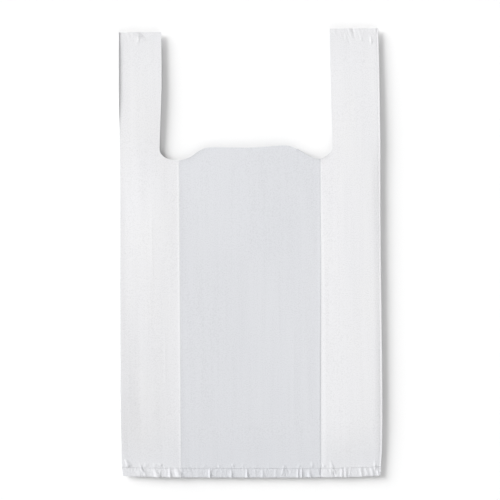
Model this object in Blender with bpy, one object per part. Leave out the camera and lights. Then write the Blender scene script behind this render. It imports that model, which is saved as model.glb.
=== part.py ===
"""Vest-type carrier bag of thin white film, empty and lying flat on its back panel.

The bag is one length of blown film tube. Its sides are folded in as gussets, it is welded
across the bottom and across the top of each handle, and the neck is die-cut through all
layers. Trapped air keeps the front panel a few millimetres off the back panel, so the bag's
inside, the mouth and both hand loops stay open, and the welds lie half way up.

Frame: X is the bag's width, +Y runs from the bottom weld to the handles, +Z is up. The
origin is under the middle of the bag, on the surface that it lies on.
"""

import math

import bmesh
import bpy

MM = 0.001

# Driving dimensions of the folded bag, in millimetres.
WIDTH = 280.0
LENGTH = 480.0
GUSSET_DEPTH = 64.5
SHORT_HANDLE_DROP = 2.5
LOFT = 8.0
# The real film is about 0.018 mm thick. A solid needs a wall that a tool can measure.
FILM = 0.3

# Heights, in millimetres: how far the welds lie over the floor, and how far apart the
# centres of neighbouring layers are where they are welded and where they are slack.
WELD_LIFT = 2.6
WELDED_PITCH = 0.4
SLACK_PITCH = 0.8

# Places along the bag, in millimetres from the bottom edge.
SKIRT = 10.8
TOP_SEAL = 471.0
WELD_WIDTH = 1.8
FLAT_BY_WELD = 3.0
BOTTOM_RISE = 46.0
TOP_RISE = 38.0

# Where the front panel steps from lying on two layers to lying on four, at the welds.
STEP_INNER = GUSSET_DEPTH + 8.0
STEP_OUTER = GUSSET_DEPTH + 2.0

FOLD_STEPS = 4
NOSE_STEPS = 6
NOSE_REACH = 2.0
RISE_STEPS = 8
PLATEAU_STEPS = 4
CURVE_STEPS = 4

# The die-cut between the handles, from the top of the left handle down its inner edge,
# round the neck and up the right handle: (x, y) in millimetres, y from the bottom edge.
LEFT_HANDLE_EDGE = [(-94.0, LENGTH + 10.0), (-94.2, 430.0), (-96.6, 362.0)]
NECK_CURVE = [
    (-96.6, 362.0),
    (-96.2, 351.0),
    (-90.0, 343.0),
    (-77.0, 340.2),
    (-64.0, 344.3),
    (-52.0, 351.6),
    (-40.0, 354.0),
    (0.0, 353.2),
    (34.0, 355.0),
    (47.0, 352.6),
    (62.0, 345.0),
    (73.0, 341.2),
    (82.0, 344.6),
    (87.8, 351.0),
    (88.3, 362.0),
]
RIGHT_HANDLE_EDGE = [(88.3, 362.0), (87.0, 446.0), (86.8, LENGTH + 10.0)]


def smooth(value):
    """Ease from 0 to 1, level at both ends."""
    value = min(max(value, 0.0), 1.0)
    return value * value * (3.0 - 2.0 * value)


def through(points, steps):
    """A smooth curve through the points, with this many stretches from one to the next."""
    first = [2 * points[0][i] - points[1][i] for i in (0, 1)]
    last = [2 * points[-1][i] - points[-2][i] for i in (0, 1)]
    known = [first, *points, last]
    curve = []
    for a, b, c, d in zip(known, known[1:], known[2:], known[3:]):
        for step in range(steps):
            t = step / steps
            curve.append(
                tuple(
                    b[i]
                    + 0.5 * t * (c[i] - a[i])
                    + t * t * (a[i] - 2.5 * b[i] + 2.0 * c[i] - 0.5 * d[i])
                    + 0.5 * t * t * t * (3.0 * (b[i] - c[i]) + d[i] - a[i])
                    for i in (0, 1)
                )
            )
    curve.append(tuple(points[-1]))
    return curve


def slackness(y):
    """0 where the layers lie pressed together at a weld, 1 where air holds them apart."""
    from_bottom = smooth((y - SKIRT - FLAT_BY_WELD) / BOTTOM_RISE)
    from_top = smooth((TOP_SEAL - FLAT_BY_WELD - y) / TOP_RISE)
    return min(from_bottom, from_top)


def layer_heights(slack):
    """Centre heights of the back panel, the front panel over two and over four layers, and
    the distance between a panel and the gusset leaf beside it."""
    back = FILM / 2 + WELD_LIFT * (1.0 - slack)
    lofted = (LOFT - FILM) * slack
    over_two = back + WELDED_PITCH * (1.0 - slack) + lofted
    over_four = back + 3.0 * WELDED_PITCH * (1.0 - slack) + lofted
    pitch = WELDED_PITCH + (SLACK_PITCH - WELDED_PITCH) * slack
    return back, over_two, over_four, pitch


def arc(x, z, reach, height, start, end, steps):
    """Points of an elliptical arc between two angles in degrees."""
    points = []
    for step in range(steps + 1):
        angle = math.radians(start + (end - start) * step / steps)
        points.append((x + reach * math.cos(angle), z + height * math.sin(angle)))
    return points


def half_section(y):
    """The film's middle line on the right half of the bag, from the front panel's centre
    round the side fold, the gusset's inner fold and the back fold to the back's centre."""
    back, over_two, over_four, pitch = layer_heights(slackness(y))
    fold = pitch / 2
    side = WIDTH / 2 - FILM / 2 - fold
    nose_height = (over_four - back) / 2 - pitch
    reach = min(NOSE_REACH, nose_height)
    nose = WIDTH / 2 - GUSSET_DEPTH + FILM / 2 + reach
    middle = (over_four + back) / 2
    inner, outer = WIDTH / 2 - STEP_INNER, WIDTH / 2 - STEP_OUTER
    line = [(0.0, over_two), (inner, over_two), (outer, over_four)]
    line += arc(side, over_four - fold, fold, fold, 90, -90, FOLD_STEPS)
    line += arc(nose, middle, reach, nose_height, 90, 270, NOSE_STEPS)
    line += arc(side, back + fold, fold, fold, 90, -90, FOLD_STEPS)
    line.append((0.0, back))
    return line


def section(y):
    """The whole tube's middle line, as one closed loop."""
    right = half_section(y)
    left = [(-x, z) for x, z in reversed(right[1:-1])]
    return right + left


def offset(line, distance):
    """The closed line moved sideways by a distance, corners mitred."""
    moved = []
    for i, (x, z) in enumerate(line):
        before, after = line[i - 1], line[(i + 1) % len(line)]
        normals = []
        for (x0, z0), (x1, z1) in ((before, (x, z)), ((x, z), after)):
            length = math.hypot(x1 - x0, z1 - z0)
            normals.append(((z0 - z1) / length, (x1 - x0) / length))
        nx = normals[0][0] + normals[1][0]
        nz = normals[0][1] + normals[1][1]
        share = distance * 2.0 / (nx * nx + nz * nz)
        moved.append((x + nx * share, z + nz * share))
    return moved


def stations():
    """Places along the tube where its section is set, closer together where it changes."""
    bottom_flat = SKIRT + FLAT_BY_WELD
    top_flat = TOP_SEAL - FLAT_BY_WELD
    places = [0.0]
    places += [bottom_flat + BOTTOM_RISE * i / RISE_STEPS for i in range(RISE_STEPS)]
    plateau_start, plateau_end = bottom_flat + BOTTOM_RISE, top_flat - TOP_RISE
    run = plateau_end - plateau_start
    places += [plateau_start + run * i / PLATEAU_STEPS for i in range(PLATEAU_STEPS)]
    places += [plateau_end + TOP_RISE * i / RISE_STEPS for i in range(RISE_STEPS)]
    places += [top_flat, LENGTH]
    return places


def new_object(name, mesh_data):
    """Put the mesh into the scene, scaled from millimetres to metres."""
    mesh = bpy.data.meshes.new(name)
    bmesh.ops.scale(mesh_data, vec=(MM, MM, MM), verts=mesh_data.verts)
    bmesh.ops.recalc_face_normals(mesh_data, faces=mesh_data.faces)
    mesh_data.to_mesh(mesh)
    mesh_data.free()
    obj = bpy.data.objects.new(name, mesh)
    bpy.context.collection.objects.link(obj)
    return obj


def film_tube(name):
    """The folded tube: an outer and an inner skin through every section, joined at the
    two open ends by the film's own cut edge."""
    mesh_data = bmesh.new()
    skins = {1: [], -1: []}
    for y in stations():
        for side, rings in skins.items():
            line = offset(section(y), side * FILM / 2)
            rings.append([mesh_data.verts.new((x, y, z)) for x, z in line])
    for rings in skins.values():
        for near, far in zip(rings, rings[1:]):
            join_rings(mesh_data, near, far)
    for end in (0, -1):
        join_rings(mesh_data, skins[1][end], skins[-1][end])
    return new_object(name, mesh_data)


def join_rings(mesh_data, first, second):
    """A band of four-sided faces between two rings with the same number of points."""
    for i in range(len(first)):
        following = (i + 1) % len(first)
        corners = (first[i], first[following], second[following], second[i])
        mesh_data.faces.new(corners)


def prism(name, outline, axis, start, end):
    """The outline pushed along Y or Z from start to end, as a closed solid."""
    mesh_data = bmesh.new()
    if axis == "Y":
        corners = [mesh_data.verts.new((x, start, z)) for x, z in outline]
        push = (0.0, end - start, 0.0)
    else:
        corners = [mesh_data.verts.new((x, y, start)) for x, y in outline]
        push = (0.0, 0.0, end - start)
    face = mesh_data.faces.new(corners)
    made = bmesh.ops.extrude_face_region(mesh_data, geom=[face])
    moved = [part for part in made["geom"] if isinstance(part, bmesh.types.BMVert)]
    bmesh.ops.translate(mesh_data, vec=push, verts=moved)
    return new_object(name, mesh_data)


def weld_bar(name, y):
    """Melted film across the whole width, filling the stack between the outer layers'
    middles, thin over two layers and thicker over four."""
    back, over_two, over_four, _ = layer_heights(0.0)
    inner, outer = WIDTH / 2 - STEP_INNER, WIDTH / 2 - STEP_OUTER
    end = WIDTH / 2 - FILM / 2 - WELDED_PITCH / 2
    half = [(inner, over_two), (outer, over_four), (end, over_four), (end, back)]
    outline = half + [(-x, z) for x, z in reversed(half)]
    return prism(name, outline, "Y", y - WELD_WIDTH / 2, y + WELD_WIDTH / 2)


def neck_cutter(name):
    """What the die takes out: the space between the handles, and the tip that makes the
    left handle the shorter one."""
    clear = 10.0
    left_top = LENGTH - SHORT_HANDLE_DROP
    neck = through(NECK_CURVE, CURVE_STEPS)
    outline = [(-WIDTH / 2 - clear, LENGTH + clear), (-WIDTH / 2 - clear, left_top)]
    outline += [(LEFT_HANDLE_EDGE[0][0], left_top)]
    outline += LEFT_HANDLE_EDGE[1:-1] + neck + RIGHT_HANDLE_EDGE[1:]
    return prism(name, outline, "Z", -clear, LOFT + clear)


def boolean(obj, operation, other):
    """Add the other solid to the object, or cut it away."""
    modifier = obj.modifiers.new(other.name, "BOOLEAN")
    modifier.operation = operation
    modifier.solver = "EXACT"
    modifier.object = other
    other.hide_render = True
    other.display_type = "WIRE"


def film_material():
    """White high-density polythene film, a little glossy."""
    material = bpy.data.materials.new("white_film")
    material.use_nodes = True
    shader = material.node_tree.nodes["Principled BSDF"]
    shader.inputs["Base Color"].default_value = (0.80, 0.82, 0.84, 1.0)
    shader.inputs["Roughness"].default_value = 0.35
    shader.inputs["Metallic"].default_value = 0.0
    return material


def carrier_bag():
    """The whole bag."""
    bag = film_tube("carrier_bag")
    bag.data.materials.append(film_material())
    boolean(bag, "UNION", weld_bar("bottom_weld", SKIRT))
    boolean(bag, "UNION", weld_bar("handle_weld", TOP_SEAL))
    boolean(bag, "DIFFERENCE", neck_cutter("neck_die"))
    bag.data.shade_smooth()
    bag.data.set_sharp_from_angle(angle=math.radians(30.0))
    # Bring the origin from the bottom edge to under the bag's middle.
    for obj in bpy.data.objects:
        obj.location.y = -LENGTH / 2 * MM
    return bag


for old in list(bpy.data.objects):
    bpy.data.objects.remove(old, do_unlink=True)
carrier_bag()
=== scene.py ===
"""Vest-type carrier bag of thin white film, empty and lying flat: its folded and welded film,
its finish, the floor, the light and the view.

Shape functions work in millimetres on the bag as it lies: across is measured from the bag's
middle, positive to the right, along from the bottom edge towards the handles, and height
from the floor.
"""

import math

import bpy
import numpy as np
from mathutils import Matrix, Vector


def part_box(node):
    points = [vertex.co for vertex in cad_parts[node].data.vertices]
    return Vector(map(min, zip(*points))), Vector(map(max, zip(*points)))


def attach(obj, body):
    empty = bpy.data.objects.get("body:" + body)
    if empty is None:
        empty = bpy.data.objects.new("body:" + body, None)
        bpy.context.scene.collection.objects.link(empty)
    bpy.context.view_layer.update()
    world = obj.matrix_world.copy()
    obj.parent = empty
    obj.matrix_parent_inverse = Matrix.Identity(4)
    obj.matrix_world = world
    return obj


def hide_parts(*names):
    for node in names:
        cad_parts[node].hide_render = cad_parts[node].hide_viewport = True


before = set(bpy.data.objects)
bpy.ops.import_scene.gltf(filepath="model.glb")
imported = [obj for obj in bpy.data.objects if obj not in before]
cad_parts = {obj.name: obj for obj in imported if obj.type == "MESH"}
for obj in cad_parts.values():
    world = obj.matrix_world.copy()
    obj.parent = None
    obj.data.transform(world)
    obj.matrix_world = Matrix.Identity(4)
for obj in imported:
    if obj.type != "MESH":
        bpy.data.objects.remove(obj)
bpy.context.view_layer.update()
BAG_LOW, BAG_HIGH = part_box("carrier_bag")

MM = 0.001

# The folded bag, from its solid.
WIDTH = (BAG_HIGH.x - BAG_LOW.x) / MM
LENGTH = (BAG_HIGH.y - BAG_LOW.y) / MM
BOTTOM_EDGE = BAG_LOW.y / MM
SIDE = WIDTH / 2

# Driving sizes of the film and its folds.
GUSSET_DEPTH = 64.5
INNER_FOLD = SIDE - GUSSET_DEPTH
SHORT_HANDLE_DROP = 2.5
FILM = 0.06

# How far apart the layers of a gusset lie at a weld and in slack film, and how far over the
# others the creased front panel lies at a weld.
WELDED_PITCH = 0.11
SLACK_PITCH = 0.75
SKIRT_GAP = 0.9

# Heights over the floor, and places along the bag.
FRONT_HEIGHT = 7.7
BACK_HEIGHT = 0.08
WELD_HEIGHT = 6.3
BOTTOM_WELD = 9.6
TOP_WELD = 471.0
PRESSED_MARGIN = 1.5
BOTTOM_RISE = 75.0
TOP_RISE = 120.0
STRAP_START = 352.0

# How much lower than the height above the middle lies, and how much of that the thicker
# gussets make up; the air's lift over a gusset; and the upturned edge of the left handle.
MIDDLE_DROP = 0.5
GUSSET_RISE = 0.16
PUFF = 0.6
LIP_RISE = 1.8
LIP_WIDTH = 1.0

# The line that the hot bars press into the film: depth and width.
BOTTOM_STEP = (0.35, 0.7)
TOP_STEP = (0.08, 2.0)

# The die-cut between the handles: (across, along).
NECK_CURVE = [
    (-96.6, 352.0),
    (-95.9, 348.6),
    (-92.8, 344.8),
    (-87.0, 341.6),
    (-76.0, 339.9),
    (-64.0, 343.3),
    (-52.0, 351.0),
    (-40.0, 353.6),
    (0.0, 353.0),
    (34.0, 355.0),
    (47.0, 353.1),
    (62.0, 344.8),
    (73.0, 340.4),
    (82.0, 343.6),
    (87.4, 348.4),
    (89.0, 352.0),
]
# How far the front panel's edge turns up along the neck, as (across, rise), and over what
# distance from the cut it does so.
NECK_LIP = [
    (-95.0, 0.05),
    (-75.0, 0.25),
    (-50.0, 0.2),
    (-30.0, 0.15),
    (38.0, 0.15),
    (46.0, 0.7),
    (52.0, 1.3),
    (58.0, 0.6),
    (67.0, 0.4),
    (76.0, 0.35),
    (84.0, 0.25),
    (88.5, 0.0),
]
LIP_REACH = 1.5

# The inner edge of each handle from the neck up: (along, across).
LEFT_INNER_EDGE = [
    (352.0, -96.6),
    (362.0, -96.3),
    (405.0, -94.3),
    (430.0, -93.7),
    (480.0, -93.9),
]
RIGHT_INNER_EDGE = [(352.0, 89.0), (366.0, 89.1), (404.0, 88.3), (446.0, 87.4), (480.0, 87.0)]

# How far the two side edges of the front panel lie in from the full width: (along, inset).
LEFT_INSET = [
    (0, 2.0),
    (9, 1.0),
    (60, 0.5),
    (170, 0.6),
    (243, 0.8),
    (340, 1.2),
    (400, 0.7),
    (480, 0.9),
]
RIGHT_INSET = [
    (0, 1.8),
    (12, 1.3),
    (30, 0.2),
    (60, -0.1),
    (120, -0.1),
    (170, 0.2),
    (243, 0.5),
    (300, 0.4),
    (360, 0.1),
    (446, 0.5),
    (480, 1.2),
]

# How the bottom edge strays from straight, as (across, along), and how far up the bag it
# still does.
BOTTOM_LINE = [
    (-140, 2.2),
    (-104, 0.9),
    (-56, 0.2),
    (30, -0.6),
    (95, -0.6),
    (127, 0.0),
    (140, 1.0),
]
BOTTOM_LINE_REACH = 40.0

# The film's grid: spacing across the front and the back panel, steps round a side fold and
# round an inner fold, how far an inner fold bulges, and where the rows start to follow the
# neck's cut.
GRID_ACROSS = 0.85
GRID_BACK = 5.0
FOLD_STEPS = 4
NOSE_STEPS = 6
NOSE_BULGE = 1.6
CUT_ROWS_START = 300.0


def smooth(value):
    """Ease from 0 to 1, level at both ends."""
    value = np.clip(value, 0.0, 1.0)
    return value * value * (3.0 - 2.0 * value)


def above(place, start, run):
    """0 up to the start, and 1 from this run beyond it."""
    return smooth((place - start) / run)


def below(place, start, run):
    """0 down to the start, and 1 from this run below it."""
    return smooth((start - place) / run)


def through(points, steps):
    """A smooth curve through the points, with this many stretches from one to the next."""
    known = np.array([points[0], *points, points[-1]], float)
    known[0] = 2 * known[1] - known[2]
    known[-1] = 2 * known[-2] - known[-3]
    curve = []
    for a, b, c, d in zip(known, known[1:], known[2:], known[3:]):
        for t in np.arange(steps) / steps:
            turn = a - 2.5 * b + 2.0 * c - 0.5 * d
            bend = 3.0 * (b - c) + d - a
            curve.append(b + 0.5 * t * (c - a) + t**2 * turn + 0.5 * t**3 * bend)
    curve.append(known[-2])
    return np.array(curve)


def read_curve(points, at):
    """The smooth curve through the points, read at a place on its first axis."""
    curve = through(points, 8)
    return np.interp(at, curve[:, 0], curve[:, 1])


# ---------------------------------------------------------------- how the film lies


def slackness(along):
    """0 where the layers are squeezed together at a weld, 1 where air holds them apart."""
    from_bottom = above(along, BOTTOM_WELD + PRESSED_MARGIN, BOTTOM_RISE)
    from_top = below(along, TOP_WELD - PRESSED_MARGIN, TOP_RISE)
    return np.minimum(from_bottom, from_top)


# Slow waves in the front panel: wavelength across and along, phases, and height.
WAVES = [
    (260.0, 420.0, 0.4, 1.1, 0.30),
    (150.0, 330.0, 2.1, 0.3, 0.16),
    (95.0, 240.0, 4.0, 2.2, 0.07),
    (61.0, 300.0, 1.3, 5.2, 0.035),
]


def waves(across, along):
    """Slow rises and falls of slack film."""
    height = 0.0
    for wide, long, phase_a, phase_b, rise in WAVES:
        ripple = np.sin(2 * math.pi * across / wide + phase_a)
        height = height + rise * ripple * np.cos(2 * math.pi * along / long + phase_b)
    return height


# Creases as ridges or, with a negative rise, valleys: where each starts and ends as
# (across, along), the rise at its middle, and the width of its left and right flank. The
# pleats of the bottom stand higher than their rise says, with a wider right flank.
PLEAT_GAIN = 1.5
PLEAT_RIGHT_GAIN = 2.2
PLEATS = [
    ((-137.8, 20.5), (-133.2, 11.0), 0.75, 1.6, 2.4),
    ((-124.0, 10.5), (-120.5, 1.0), 0.30, 2.6, 1.4),
    ((-119.5, 11.0), (-114.5, 1.0), 0.45, 2.6, 1.2),
    ((-106.8, 12.0), (-99.8, -1.5), 1.05, 5.6, 1.6),
    ((-99.0, 10.5), (-99.0, 0.5), 0.40, 1.0, 1.2),
    ((-88.6, 12.5), (-87.4, -1.5), 0.80, 2.6, 1.2),
    ((-83.0, 12.0), (-76.2, -1.5), 0.95, 5.2, 2.6),
    ((-45.3, 12.0), (-45.3, -1.5), 0.90, 1.6, 1.5),
    ((-23.0, 10.0), (-22.0, 0.0), 0.50, 1.3, 1.4),
    ((-5.6, 11.5), (-5.2, -1.5), 0.95, 1.6, 1.3),
    ((11.8, 10.5), (11.0, 0.5), 0.40, 1.6, 1.6),
    ((25.4, 10.0), (25.0, 1.0), 0.25, 1.6, 1.8),
    ((49.4, 13.0), (49.2, -1.5), 0.75, 1.3, 1.1),
    ((53.4, 13.0), (53.2, -1.5), 0.75, 1.4, 1.1),
    ((59.5, 8.0), (63.0, -1.5), 0.85, 2.6, 1.6),
    ((73.6, 8.5), (73.6, 3.0), -0.35, 1.0, 1.0),
    ((83.4, 20.0), (88.0, 5.0), 0.45, 2.2, 1.6),
    ((86.0, 9.5), (89.2, 0.5), -0.42, 1.4, 1.0),
    ((96.6, 12.5), (96.8, -1.5), 0.60, 2.0, 1.4),
    ((101.0, 12.5), (101.2, -1.5), 0.60, 2.0, 1.6),
    ((115.5, 15.0), (119.5, 1.0), 0.40, 2.2, 1.4),
    ((121.5, 12.0), (126.0, 1.0), 0.42, 2.2, 1.4),
    ((127.0, 13.0), (131.5, 1.0), 0.42, 2.0, 1.4),
    ((132.5, 20.0), (133.5, 7.0), 0.40, 1.3, 1.3),
    ((134.5, 8.0), (138.5, 0.0), 0.55, 2.0, 1.2),
    ((-116.5, 15.5), (-113.0, 11.5), 0.25, 1.6, 1.4),
    ((-107.0, 15.0), (-103.0, 12.0), 0.30, 1.8, 1.2),
    ((-101.5, 15.0), (-97.0, 12.5), 0.35, 1.8, 1.2),
    ((-51.5, 14.0), (-50.0, 11.5), 0.20, 1.4, 1.4),
    ((-36.0, 15.5), (-35.0, 11.5), 0.20, 1.4, 1.4),
    ((-20.8, 16.5), (-20.4, 11.8), 0.35, 1.4, 1.2),
    ((-10.2, 15.0), (-9.6, 11.8), 0.30, 1.4, 1.2),
    ((49.8, 14.0), (51.0, 11.5), 0.30, 1.4, 1.2),
    ((64.2, 17.0), (65.0, 11.5), 0.35, 1.6, 1.2),
    ((74.5, 15.0), (77.5, 11.0), 0.35, 1.6, 1.2),
]

# The creases at the top of the handles, in the same form, at their own size.
TOP_CREASES = [
    ((-107.0, 466.0), (-129.0, 481.5), 1.45, 3.6, 4.8),
    ((-126.5, 466.0), (-131.0, 479.0), 0.25, 2.6, 2.0),
    ((-98.0, 472.0), (-104.5, 478.5), 0.35, 1.6, 1.4),
    ((-100.0, 468.0), (-107.0, 477.0), 0.20, 1.6, 1.4),
    ((114.9, 466.5), (111.2, 482.0), -0.62, 1.0, 1.7),
    ((112.0, 467.5), (107.8, 481.0), 0.28, 3.0, 1.6),
    ((122.5, 468.0), (118.0, 481.0), 0.22, 2.2, 1.8),
    ((96.5, 467.0), (91.0, 481.0), 0.18, 2.6, 2.0),
    ((137.0, 472.5), (137.3, 482.0), 0.40, 1.1, 0.9),
]

# Long faint lines that run the length of the bag: the inner folds of the gussets showing
# through, and the set that the side folds keep.
LONG_LINES = [
    ((-76.0, -1200.0), (-76.0, 600.0), 0.13, 1.4, 0.9),
    ((137.9, -300.0), (137.9, 175.0), -0.10, 2.6, 2.2),
    ((138.2, -900.0), (138.2, 560.0), -0.12, 1.1, 0.9),
    ((45.4, 250.0), (45.4, 60.0), 0.08, 1.6, 2.4),
    ((-105.5, 320.0), (-105.5, 225.0), 0.09, 1.8, 2.8),
    ((-91.5, 200.0), (-91.5, 105.0), 0.09, 2.8, 1.4),
    ((-132.8, 170.0), (-133.0, -60.0), -0.08, 1.4, 2.6),
    ((66.0, 230.0), (66.0, 352.0), 0.06, 1.4, 1.4),
]

# Where the inner fold of the right gusset shows through the front panel: (along, across).
RIGHT_FOLD = [(0, 74.3), (60, 74.5), (120, 74.85), (173, 75.45), (227, 75.8), (352, 75.9)]


def right_fold_line(across, along):
    """The shallow valley over the right gusset's inner fold, deeper towards the bottom."""
    aside = across - np.interp(along, *zip(*RIGHT_FOLD))
    depth = 0.17 + 0.15 * below(along, 330.0, 250.0)
    flank = np.where(aside > 0, 1.5 + 4.5 * below(along, 330.0, 200.0), 1.1)
    return -depth * smooth(1.0 - np.abs(aside) / flank)


def crease(across, along, start, end, rise, left, right):
    """Height of one straight crease, which fans out from its start, narrow there and about
    twice as wide at its end, and fades quickly just beyond the end."""
    run = np.subtract(end, start)
    length = math.hypot(*run)
    unit = run / length
    travel = ((across - start[0]) * unit[0] + (along - start[1]) * unit[1]) / length
    aside = (across - start[0]) * -unit[1] + (along - start[1]) * unit[0]
    aside = -aside if run[1] > 0 else aside
    flank = np.where(aside > 0, right, left) * (0.45 + 0.55 * np.clip(travel, 0.0, 1.0))
    ridge = np.clip(1.0 - np.abs(aside) / flank, 0.0, 1.0)
    ends = smooth(travel * 1.4) * smooth((1.1 - travel) * 8.0)
    return rise * smooth(ridge) ** 0.8 * ends


def small_puckers(across, along, weld, count, seed):
    """Short fine creases that a weld draws into the film on both sides of it."""
    draw = np.random.default_rng(seed)
    height = np.zeros(np.broadcast(across, along).shape)
    for _ in range(count):
        place = draw.uniform(-SIDE + 3.0, SIDE - 3.0)
        lean = draw.normal(0.15, 0.25)
        reach = draw.uniform(3.0, 10.0)
        start = (place - lean * reach, weld + reach)
        end = (place + lean * reach * 0.8, weld - draw.uniform(3.0, 9.0))
        rise = min(draw.exponential(0.18), 0.6) * draw.choice((1.0, 1.0, 1.0, -0.7))
        height += crease(across, along, start, end, rise, 1.4, 0.9)
    return height


def weld_step(along):
    """The line that each hot bar left in the film: a small step down to the edge."""
    depth, width = BOTTOM_STEP
    step = depth * (above(along, BOTTOM_WELD - width / 2, width) - 1.0)
    depth, width = TOP_STEP
    return step + depth * (below(along, TOP_WELD + width / 2, width) - 1.0)


def seam_relief(across, along):
    """Creases and puckers at the bottom and at the handles' tops, and the long lines."""
    height = right_fold_line(across, along)
    for start, end, rise, left, right in PLEATS:
        raised, right = PLEAT_GAIN * rise, PLEAT_RIGHT_GAIN * right
        height = height + crease(across, along, start, end, raised, left, right)
    for line in TOP_CREASES + LONG_LINES:
        height = height + crease(across, along, *line)
    height = height + small_puckers(across, along, BOTTOM_WELD, count=130, seed=11)
    return height + small_puckers(across, along, TOP_WELD, count=50, seed=5)


def band(across):
    """0 over the two layers of the middle, 1 over the four layers of each gusset."""
    return above(np.abs(across), INNER_FOLD - 5.0, 6.0)


def near_left(across, reach):
    """0 away from the left side fold, 1 on it, rising over this reach."""
    return smooth((-across - SIDE + reach) / reach)


def side_curl(across, along):
    """How the front panel dips towards its left side fold beside the neck and lifts towards
    it near the bottom, dips at the neck's left corner, and turns up at its left rim and down
    at its right one."""
    dip = np.exp(-(((along - 315.0) / 70.0) ** 2))
    lift = below(along, 270.0, 210.0)
    height = near_left(across, 22.0) * (1.2 * lift - 0.9 * dip)
    height = height + 1.9 * lift * near_left(across, 58.0)
    height = height - 1.5 * dip * near_left(across, 60.0)
    height = height - 0.5 * dip * above(across, -102.0, 26.0) * below(across, 10.0, 80.0)
    corner = np.exp(-(((across + 86.0) / 36.0) ** 2) - ((along - 348.0) / 36.0) ** 2)
    height = height - 1.1 * corner
    left_rim = np.clip((-across - SIDE + 5.5) / 5.5, 0.0, 1.0)
    left_rise = 0.25 + 0.1 * below(along, 280.0, 200.0)
    height = height + left_rim * left_rise * below(along, 330.0, 50.0)
    right_rim = np.clip((across - SIDE + 7.0) / 7.0, 0.0, 1.0)
    right_drop = 0.55 + 0.1 * below(along, 200.0, 120.0)
    return height - right_rim * right_drop * below(along, 375.0, 60.0)


def handle_lip(across, along):
    """How the left handle's outer edge turns up, a little less near its top."""
    lip = np.clip((-across - SIDE + LIP_WIDTH) / LIP_WIDTH, 0.0, 1.0)
    fade = 1.0 - 0.35 * above(along, 455.0, 25.0)
    return LIP_RISE * lip * above(along, 368.0, 45.0) * fade


def front_height(across, along):
    """The front panel without its creases."""
    slack = slackness(along)
    lofted = WELD_HEIGHT + (FRONT_HEIGHT - WELD_HEIGHT) * slack
    puffed = PUFF * above(np.abs(across), INNER_FOLD, 34.0)
    puffed = puffed * above(along, BOTTOM_WELD, 50.0) * below(along, TOP_WELD, 50.0)
    loose = (waves(across, along) + side_curl(across, along)) * slack
    at_cut = np.clip(1.0 - (cut_height(across) - along) / LIP_REACH, 0.0, 1.0)
    inside = (across > NECK_CURVE[0][0]) & (across < NECK_CURVE[-1][0]) & (along <= STRAP_START)
    lip = np.where(inside, np.interp(across, *zip(*NECK_LIP)) * at_cut, 0.0)
    lips = lip + handle_lip(across, along)
    thick = GUSSET_RISE * band(across) - MIDDLE_DROP
    return lofted + thick + puffed + loose + lips + weld_step(along)


def back_height(across, along):
    """The back panel, which lies on the floor except near the welds. There it lies under the
    front panel's gap and the other layers."""
    slack = slackness(along)
    stack = WELDED_PITCH * (1.0 + 2.0 * band(across))
    thick = GUSSET_RISE * band(across) - MIDDLE_DROP
    welded = WELD_HEIGHT + thick - SKIRT_GAP - stack + weld_step(along)
    return np.maximum(BACK_HEIGHT, welded + (BACK_HEIGHT - WELD_HEIGHT) * slack)


def leaf_pitch(along):
    """How far a gusset's leaf lies from the panel beside it."""
    return WELDED_PITCH + (SLACK_PITCH - WELDED_PITCH) * slackness(along)


# ---------------------------------------------------------------- the film's mesh


def spaced(start, end, step):
    """Places from start to end, about a step apart, without the end."""
    count = max(1, round(abs(end - start) / step))
    return list(start + (end - start) * np.arange(count) / count)


def places_through(stops):
    """Places from the first stop to the last. Each stop is (place, spacing from there on)."""
    places = []
    for (start, spacing), (end, _) in zip(stops, stops[1:]):
        places += spaced(start, end, spacing)
    return places + [stops[-1][0]]


def panel_places(step):
    """Places across a panel from the left side fold to the right one. Each fold, each
    handle's inner edge and the steep ends of the neck curve have places of their own."""
    left, right = LEFT_INNER_EDGE[0][1], RIGHT_INNER_EDGE[0][1]
    fine = min(step, 0.5)
    return places_through([
        (-SIDE, fine),
        (-SIDE + 4.0, step),
        (left, fine / 2),
        (left + 1.5, step),
        (-INNER_FOLD - 1.5, fine),
        (-INNER_FOLD + 1.5, step),
        (INNER_FOLD - 1.5, fine),
        (INNER_FOLD + 1.5, step),
        (right - 2.0, fine / 2),
        (right, step),
        (SIDE - 5.0, fine),
        (SIDE, step),
    ])


def leaf_places(side):
    """Places across a gusset's leaf from its side fold in to its inner fold."""
    edge = abs((RIGHT_INNER_EDGE if side > 0 else LEFT_INNER_EDGE)[0][1])
    places = places_through([(SIDE, 4.0), (edge, 0.7), (edge - 2.0, 2.0), (INNER_FOLD, 2.0)])
    return [side * place for place in places]


FRONT, FRONT_FOLD, FRONT_LEAF, NOSE, BACK_LEAF, BACK_FOLD, BACK = range(7)


def tube_columns():
    """The lines along the tube, in order round it, each as (part, across, turn). The turn
    is how far round a fold a line lies, from 0 to 1."""
    fold = [(step + 0.5) / FOLD_STEPS for step in range(FOLD_STEPS)]
    nose = [(step + 0.5) / NOSE_STEPS for step in range(NOSE_STEPS)]

    def gusset(side):
        columns = [(FRONT_FOLD, side * SIDE, turn) for turn in fold]
        columns += [(FRONT_LEAF, place, 0.0) for place in leaf_places(side)]
        columns += [(NOSE, side * INNER_FOLD, turn) for turn in nose]
        columns += [(BACK_LEAF, place, 0.0) for place in reversed(leaf_places(side))]
        columns += [(BACK_FOLD, side * SIDE, turn) for turn in fold]
        return columns

    columns = [(FRONT, place, 0.0) for place in panel_places(GRID_ACROSS)]
    columns += gusset(1)
    columns += [(BACK, place, 0.0) for place in reversed(panel_places(GRID_BACK))]
    columns += reversed(gusset(-1))
    return columns


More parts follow.
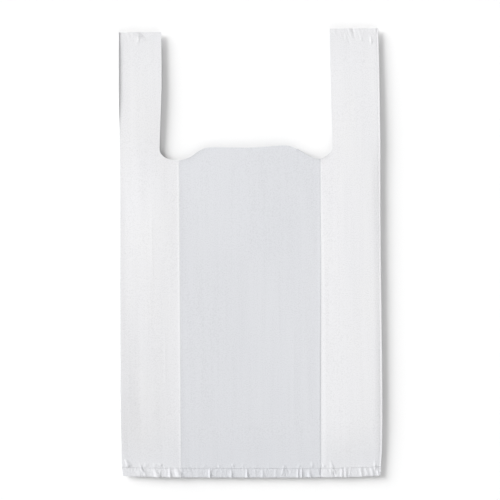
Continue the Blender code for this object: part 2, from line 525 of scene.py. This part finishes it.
def side_inset(across, along):
    """How far in from the full width the film lies near its side edges."""
    share = smooth((np.abs(across) - INNER_FOLD) / (SIDE - INNER_FOLD))
    left = np.interp(along, *zip(*LEFT_INSET))
    right = np.interp(along, *zip(*RIGHT_INSET))
    return np.where(across > 0, -right, left) * share


def lay_film(part, across, along, turn):
    """Where the film lies, in metres in the bag's frame, from its place on the flat tube."""
    plain, back = front_height(across, along), back_height(across, along)
    front = plain + np.where(part <= FRONT_FOLD, seam_relief(across, along), 0.0)
    gap = SKIRT_GAP * (1.0 - slackness(along))
    pitch = np.minimum(leaf_pitch(along), (plain - gap - back) / 3.0)
    leaf, under_leaf = plain - gap - pitch, back + pitch
    outward = np.sign(across)
    reach = np.zeros_like(across)
    height = np.choose(part, [front, front, leaf, leaf, under_leaf, back, back])
    around = math.pi * turn

    high = part == FRONT_FOLD
    height = np.where(high, front + (leaf - front) / 2 * (1 - np.cos(around)), height)
    low = part == BACK_FOLD
    height = np.where(low, back + pitch / 2 * (1 + np.cos(around)), height)
    reach = np.where(high | low, pitch / 2 * np.sin(around), reach)

    nose = part == NOSE
    drop = (leaf - under_leaf) / 2
    height = np.where(nose, leaf - drop * (1 - np.cos(around)), height)
    reach = np.where(nose, -np.minimum(drop, NOSE_BULGE) * np.sin(around), reach)

    x = across + side_inset(across, along) + outward * reach
    stray = np.interp(across, *zip(*BOTTOM_LINE)) * smooth(1.0 - along / BOTTOM_LINE_REACH)
    y = along + BOTTOM_EDGE + stray
    return np.stack([x, y, height], axis=-1) * MM


def body_rows():
    """Places along the bag from the bottom edge to where the straps start: close together
    at the bottom weld, in the pleats round it and at the neck's cut."""
    return np.array(places_through([
        (0.0, 1.0),
        (BOTTOM_WELD - 0.6, 0.25),
        (BOTTOM_WELD + 0.65, 1.0),
        (24.0, 3.0),
        (60.0, 12.0),
        (CUT_ROWS_START, 6.5),
        (STRAP_START - 1.8, 0.9),
        (STRAP_START, 0.9),
    ]))


def strap_rows(top):
    """Places along a strap from just above where it starts to its top, close together in
    the creases of the top."""
    stops = [(STRAP_START, 8.0), (440.0, 2.5), (460.0, 1.2), (top, 1.2)]
    return np.array(places_through(stops)[1:])


def cut_height(across):
    """How far up the film reaches on a line along the bag, below the straps."""
    curve = through(NECK_CURVE, 6)
    return np.interp(across, curve[:, 0], curve[:, 1], STRAP_START, STRAP_START)


def strip_faces(lower, upper):
    """The faces between two rows of corners."""
    quads = zip(lower, lower[1:], upper[1:], upper)
    return [tuple(int(corner) for corner in quad) for quad in quads]


def film_tube():
    """Corner places and faces of the whole film, one skin thick: rings of corners up to
    where the straps start, then rows of corners up each half of each strap."""
    part, across, turn = (np.array(values) for values in zip(*tube_columns()))
    rows = body_rows()[:, None]
    stretch = (cut_height(across) - CUT_ROWS_START) / (STRAP_START - CUT_ROWS_START)
    stretched = CUT_ROWS_START + (rows - CUT_ROWS_START) * stretch
    along = np.where(rows > CUT_ROWS_START, stretched, rows)
    places = [(part, np.broadcast_to(across, along.shape), along, turn)]
    count = len(part)
    ring = np.append(np.arange(count), 0)
    faces = []
    for row in range(len(rows) - 1):
        faces += strip_faces(row * count + ring, (row + 1) * count + ring)

    last_ring = (len(rows) - 1) * count
    used = len(rows) * count
    for side, edge, top in (
        (-1, LEFT_INNER_EDGE, LENGTH - SHORT_HANDLE_DROP),
        (1, RIGHT_INNER_EDGE, LENGTH),
    ):
        held = side * across >= side * edge[0][1] - 1e-6
        heights = strap_rows(top)[:, None]
        for strap in runs(held):
            share = (across[strap] - side * SIDE) / (edge[0][1] - side * SIDE)
            narrowed = side * SIDE + share * (read_curve(edge, heights) - side * SIDE)
            tall = np.broadcast_to(heights, narrowed.shape)
            places.append((part[strap], narrowed, tall, turn[strap]))
            lower = last_ring + np.array(strap)
            for row in range(len(heights)):
                upper = used + row * len(strap) + np.arange(len(strap))
                faces += strip_faces(lower, upper)
                lower = upper
            used += narrowed.size
    return places, faces


def runs(held):
    """The unbroken stretches of a closed ring's columns that are held."""
    count = len(held)
    starts = [i for i in range(count) if held[i] and not held[i - 1]]
    found = []
    for start in starts:
        stretch = []
        while held[(start + len(stretch)) % count]:
            stretch.append((start + len(stretch)) % count)
        found.append(stretch)
    return found


TWO_LAYERS = 0.29


def layers_and_shade(part, across, along):
    """How white the film is painted: TWO_LAYERS where a panel lies over one other layer, 1
    where it lies loosely over three; the middle's grey is painted shade, the shade under the
    bag seen through two layers. Towards the bottom and the handles' tops the film is darker:
    near the welds the layers lie squeezed together and look clearer, and the rest is painted
    shade of how the light falls there."""
    left_fold = INNER_FOLD - 0.1 + 0.2 * np.cos(along / 70.0)
    fold = np.where(across > 0, np.interp(along, *zip(*RIGHT_FOLD)), left_fold)
    # Painted shade: the middle, over one other layer, is made greyer for the shade under the
    # bag seen through it.
    share = TWO_LAYERS + (1.0 - TWO_LAYERS) * smooth(np.abs(across) - fold + 0.5)
    # Partly painted shade: darker towards the bottom and the handles' tops, for how the light
    # falls there; near the welds the squeezed layers also look clearer.
    squeeze_and_shade = 1.0 - 0.34 * below(along, 62.0, 50.0) - 0.10 * below(along, 220.0, 200.0)
    squeeze_and_shade = squeeze_and_shade - 0.08 * above(along, 420.0, 50.0)
    return np.where((part == FRONT) | (part == BACK), share, 1.0) * squeeze_and_shade


def crinkled(across, along):
    """How finely crushed the film is: most in the narrow skirts outside the welds."""
    bottom = below(along, BOTTOM_WELD + 5.0, 5.0)
    top = above(along, TOP_WELD - 6.0, 6.0)
    uneven = 0.65 + 0.35 * np.sin(across / 17.0 + 1.0) * np.sin(across / 41.0)
    return np.maximum(bottom * (0.75 + 0.25 * band(across)), 0.5 * top) * uneven


def give_values(mesh, name, values):
    """Store one number for each corner place."""
    attribute = mesh.attributes.new(name, "FLOAT", "POINT")
    attribute.data.foreach_set("value", np.concatenate(values).astype(np.float32))


def sharpen_cut_edges(mesh):
    """Keep the film's cut edges crisp, so that its shading isn't rounded off there."""
    edges = np.sort([key for polygon in mesh.polygons for key in polygon.edge_keys], axis=1)
    pairs, uses = np.unique(edges, axis=0, return_counts=True)
    cut = {tuple(pair) for pair in pairs[uses == 1].tolist()}
    for edge in mesh.edges:
        edge.use_edge_sharp = tuple(sorted(edge.vertices)) in cut


def carrier_bag():
    """The bag's film as one piece."""
    places, faces = film_tube()
    corners = np.concatenate([lay_film(*place).reshape(-1, 3) for place in places])
    mesh = bpy.data.meshes.new("bag_film")
    mesh.from_pydata(corners, [], faces)
    # The layers value holds the film's whiteness over its layers, with painted shade in the
    # middle and towards the bottom and the handles' tops.
    give_values(mesh, "layers", [layers_and_shade(p, x, y).ravel() for p, x, y, _ in places])
    give_values(mesh, "crinkle", [crinkled(x, y).ravel() for _, x, y, _ in places])
    mesh.shade_smooth()
    mesh.validate()
    sharpen_cut_edges(mesh)
    bag = bpy.data.objects.new("bag_film", mesh)
    bpy.context.collection.objects.link(bag)
    thickness = bag.modifiers.new("film", "SOLIDIFY")
    thickness.thickness = FILM * MM
    thickness.offset = 0.0
    mesh.materials.append(white_film())
    return bag


# ---------------------------------------------------------------- the film's finish


class Value:
    """A value in a material's node tree. Arithmetic on it adds Math nodes."""

    def __init__(self, tree, socket):
        self.tree = tree
        self.socket = socket

    def math(self, operation, *values):
        inputs = dict(enumerate(values))
        return self.tree.add("ShaderNodeMath", {"operation": operation}, inputs)

    def __add__(self, other):
        return self.math("ADD", self, other)

    def __sub__(self, other):
        return self.math("SUBTRACT", self, other)

    def __rsub__(self, other):
        return self.math("SUBTRACT", other, self)

    def __mul__(self, other):
        return self.math("MULTIPLY", self, other)

    __radd__ = __add__
    __rmul__ = __mul__


class Finish:
    """The node tree of a material or a world, built one node at a time."""

    def __init__(self, owner):
        owner.use_nodes = True
        self.nodes = owner.node_tree.nodes
        self.links = owner.node_tree.links
        self.nodes.clear()

    def add(self, kind, settings=None, inputs=None, output=0):
        """A node with its settings and inputs. An input is a number, a colour or a Value."""
        node = self.nodes.new(kind)
        for name, value in (settings or {}).items():
            setattr(node, name, value)
        for name, value in (inputs or {}).items():
            if isinstance(value, Value):
                self.links.new(value.socket, node.inputs[name])
            else:
                node.inputs[name].default_value = value
        return Value(self, node.outputs[output]) if node.outputs else None

    def blend(self, share, first, second):
        """A colour between two, by a share."""
        settings = {"data_type": "RGBA", "blend_type": "MIX"}
        return self.add("ShaderNodeMix", settings, {0: share, 6: first, 7: second}, output=2)

    def noise(self, place, scale, detail=2.0, rough=0.5):
        """Cloudy noise from 0 to 1, with a scale of its own on each axis."""
        scaled = {0: place, 1: scale}
        place = self.add("ShaderNodeVectorMath", {"operation": "MULTIPLY"}, scaled)
        inputs = {"Vector": place, "Scale": 1.0, "Detail": detail, "Roughness": rough}
        return self.add("ShaderNodeTexNoise", None, inputs)


# Each part of the film has two shades, which slow clouds blend. The gussets are the whiter
# and warmer ones; the middle's greyer, cooler shades are painted shade, the shade under the
# bag seen through its two layers.
MIDDLE_SHADES = ((0.648, 0.661, 0.695, 1.0), (0.668, 0.681, 0.714, 1.0))
GUSSET_SHADES = ((0.786, 0.788, 0.811, 1.0), (0.816, 0.813, 0.818, 1.0))
BLACK = (0.0, 0.0, 0.0, 1.0)
RELIEF_DEPTH = 0.0008


def white_film():
    """White polythene film: whiter over more layers, with painted shade in the greyer middle
    (the shade under the bag seen through two layers) and towards the bottom, with fine lines
    along the tube from the die that it was blown through, a faint grain, and a soft sheen."""
    material = bpy.data.materials.new("white_film")
    finish = Finish(material)
    place = finish.add("ShaderNodeTexCoord", output="Object")
    layers = finish.add("ShaderNodeAttribute", {"attribute_name": "layers"}, output="Fac")
    crinkle = finish.add("ShaderNodeAttribute", {"attribute_name": "crinkle"}, output="Fac")
    fine_lines = finish.noise(place, (620.0, 10.0, 1.0), 3.0, 0.6)
    wide_lines = finish.noise(place, (150.0, 8.0, 1.0))
    grain = finish.noise(place, (1000.0, 900.0, 1000.0), 1.0)
    crushed = finish.noise(place, (300.0, 170.0, 1.0), 3.0, 0.6) - 0.5
    crushed = crushed.math("ABSOLUTE", crushed)
    clouds = finish.noise(place, (22.0, 12.0, 1.0))

    # Painted shade: the middle's greyer, cooler colour stands for the shade under the bag seen
    # through its two layers, and the layers value also darkens the film towards the bottom and
    # the handles' tops.
    middle = finish.blend(clouds, *MIDDLE_SHADES)
    gusset = finish.blend(clouds, *GUSSET_SHADES)
    colour = finish.blend(layers, middle, gusset)
    mottle = 0.750 + 0.07 * fine_lines + 0.08 * wide_lines + 0.31 * grain
    mottled = finish.blend(mottle, BLACK, colour)

    relief = 0.05 * fine_lines + 0.05 * grain + 2.0 * crinkle * crushed
    bump = {"Strength": 1.0, "Distance": RELIEF_DEPTH, "Height": relief}
    normal = finish.add("ShaderNodeBump", None, bump)
    shader = finish.add(
        "ShaderNodeBsdfPrincipled",
        None,
        {
            "Base Color": mottled,
            "Roughness": 0.32 + 0.12 * fine_lines - 0.18 * crinkle,
            "IOR": 1.5,
            "Normal": normal,
        },
    )
    finish.add("ShaderNodeOutputMaterial", None, {"Surface": shader})
    return material


# ---------------------------------------------------------------- floor, light and view


FLOOR_REACH = 60.0
FLOOR_SHADE = (0.95, 0.95, 0.95, 1.0)


def floor():
    """A plain white floor, wide enough to meet the horizon in a low view."""
    reach = FLOOR_REACH
    mesh = bpy.data.meshes.new("floor")
    corners = [(-reach, -reach, 0), (reach, -reach, 0), (reach, reach, 0), (-reach, reach, 0)]
    mesh.from_pydata(corners, [], [(0, 1, 2, 3)])
    material = bpy.data.materials.new("white_floor")
    finish = Finish(material)
    shader = finish.add("ShaderNodeBsdfDiffuse", None, {"Color": FLOOR_SHADE})
    finish.add("ShaderNodeOutputMaterial", None, {"Surface": shader})
    mesh.materials.append(material)
    obj = bpy.data.objects.new("floor", mesh)
    bpy.context.collection.objects.link(obj)


# The sky's brightness as light on the bag and as seen behind it.
WHITE = (1.0, 1.0, 1.0, 1.0)
SKY_LIGHT = 0.36
SKY_SEEN = 0.96

# The two far lights, with angles in degrees, and the panel overhead, in metres.
KEY_STRENGTH = 3.73
KEY_SPREAD = 44.0
KEY_ELEVATION = 27.0
KEY_BEARING = 147.0
FILL_STRENGTH = 0.66
FILL_SPREAD = 50.0
FILL_ELEVATION = 38.0
FILL_BEARING = -75.0
PANEL_POWER = 1.0
PANEL_SIZE = 1.0
PANEL_PLACE = (0.0, 0.15, 1.1)


def far_light(name, strength, spread, elevation, bearing):
    """A broad light a long way off, at an elevation and a bearing in degrees. It leaves no
    glare on the film."""
    light = bpy.data.lights.new(name, "SUN")
    light.energy = strength
    light.angle = math.radians(spread)
    lamp = bpy.data.objects.new(name, light)
    lamp.rotation_euler = (0.0, math.radians(90.0 - elevation), math.radians(bearing))
    lamp.visible_glossy = False
    bpy.context.collection.objects.link(lamp)


def studio_light():
    """Even light from all round, a soft light from the upper left, a weaker one from
    below, and a soft panel overhead."""
    world = bpy.data.worlds.new("studio")
    sky = Finish(world)
    seen = sky.add("ShaderNodeLightPath", output="Is Camera Ray")
    strength = SKY_LIGHT + (SKY_SEEN - SKY_LIGHT) * seen
    shader = sky.add("ShaderNodeBackground", None, {"Color": WHITE, "Strength": strength})
    sky.add("ShaderNodeOutputWorld", None, {"Surface": shader})
    bpy.context.scene.world = world

    far_light("key", KEY_STRENGTH, KEY_SPREAD, KEY_ELEVATION, KEY_BEARING)
    far_light("fill", FILL_STRENGTH, FILL_SPREAD, FILL_ELEVATION, FILL_BEARING)

    panel = bpy.data.lights.new("panel", "AREA")
    panel.energy = PANEL_POWER
    panel.size = PANEL_SIZE
    lamp = bpy.data.objects.new("panel", panel)
    lamp.location = PANEL_PLACE
    bpy.context.collection.objects.link(lamp)


# The view: how much it takes in, its middle as (across, up), its tilt in degrees, and the
# camera's lens and sensor.
VIEW_WIDTH = 535.0
VIEW_MIDDLE = (-0.25, 3.4)
VIEW_ROLL = -0.40
LENS = 100.0
SENSOR = 36.0


def camera():
    """Straight down on the bag, with the handles at the top."""
    data = bpy.data.cameras.new("camera")
    data.lens = LENS
    data.sensor_width = SENSOR
    obj = bpy.data.objects.new("camera", data)
    distance = VIEW_WIDTH * LENS / SENSOR + FRONT_HEIGHT
    obj.location = (VIEW_MIDDLE[0] * MM, VIEW_MIDDLE[1] * MM, distance * MM)
    obj.rotation_euler = (0.0, 0.0, math.radians(VIEW_ROLL))
    bpy.context.collection.objects.link(obj)
    bpy.context.scene.camera = obj


bag = carrier_bag()
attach(bag, "root")
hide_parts("carrier_bag")

floor()
studio_light()
camera()
bpy.context.scene.view_settings.view_transform = "Standard"
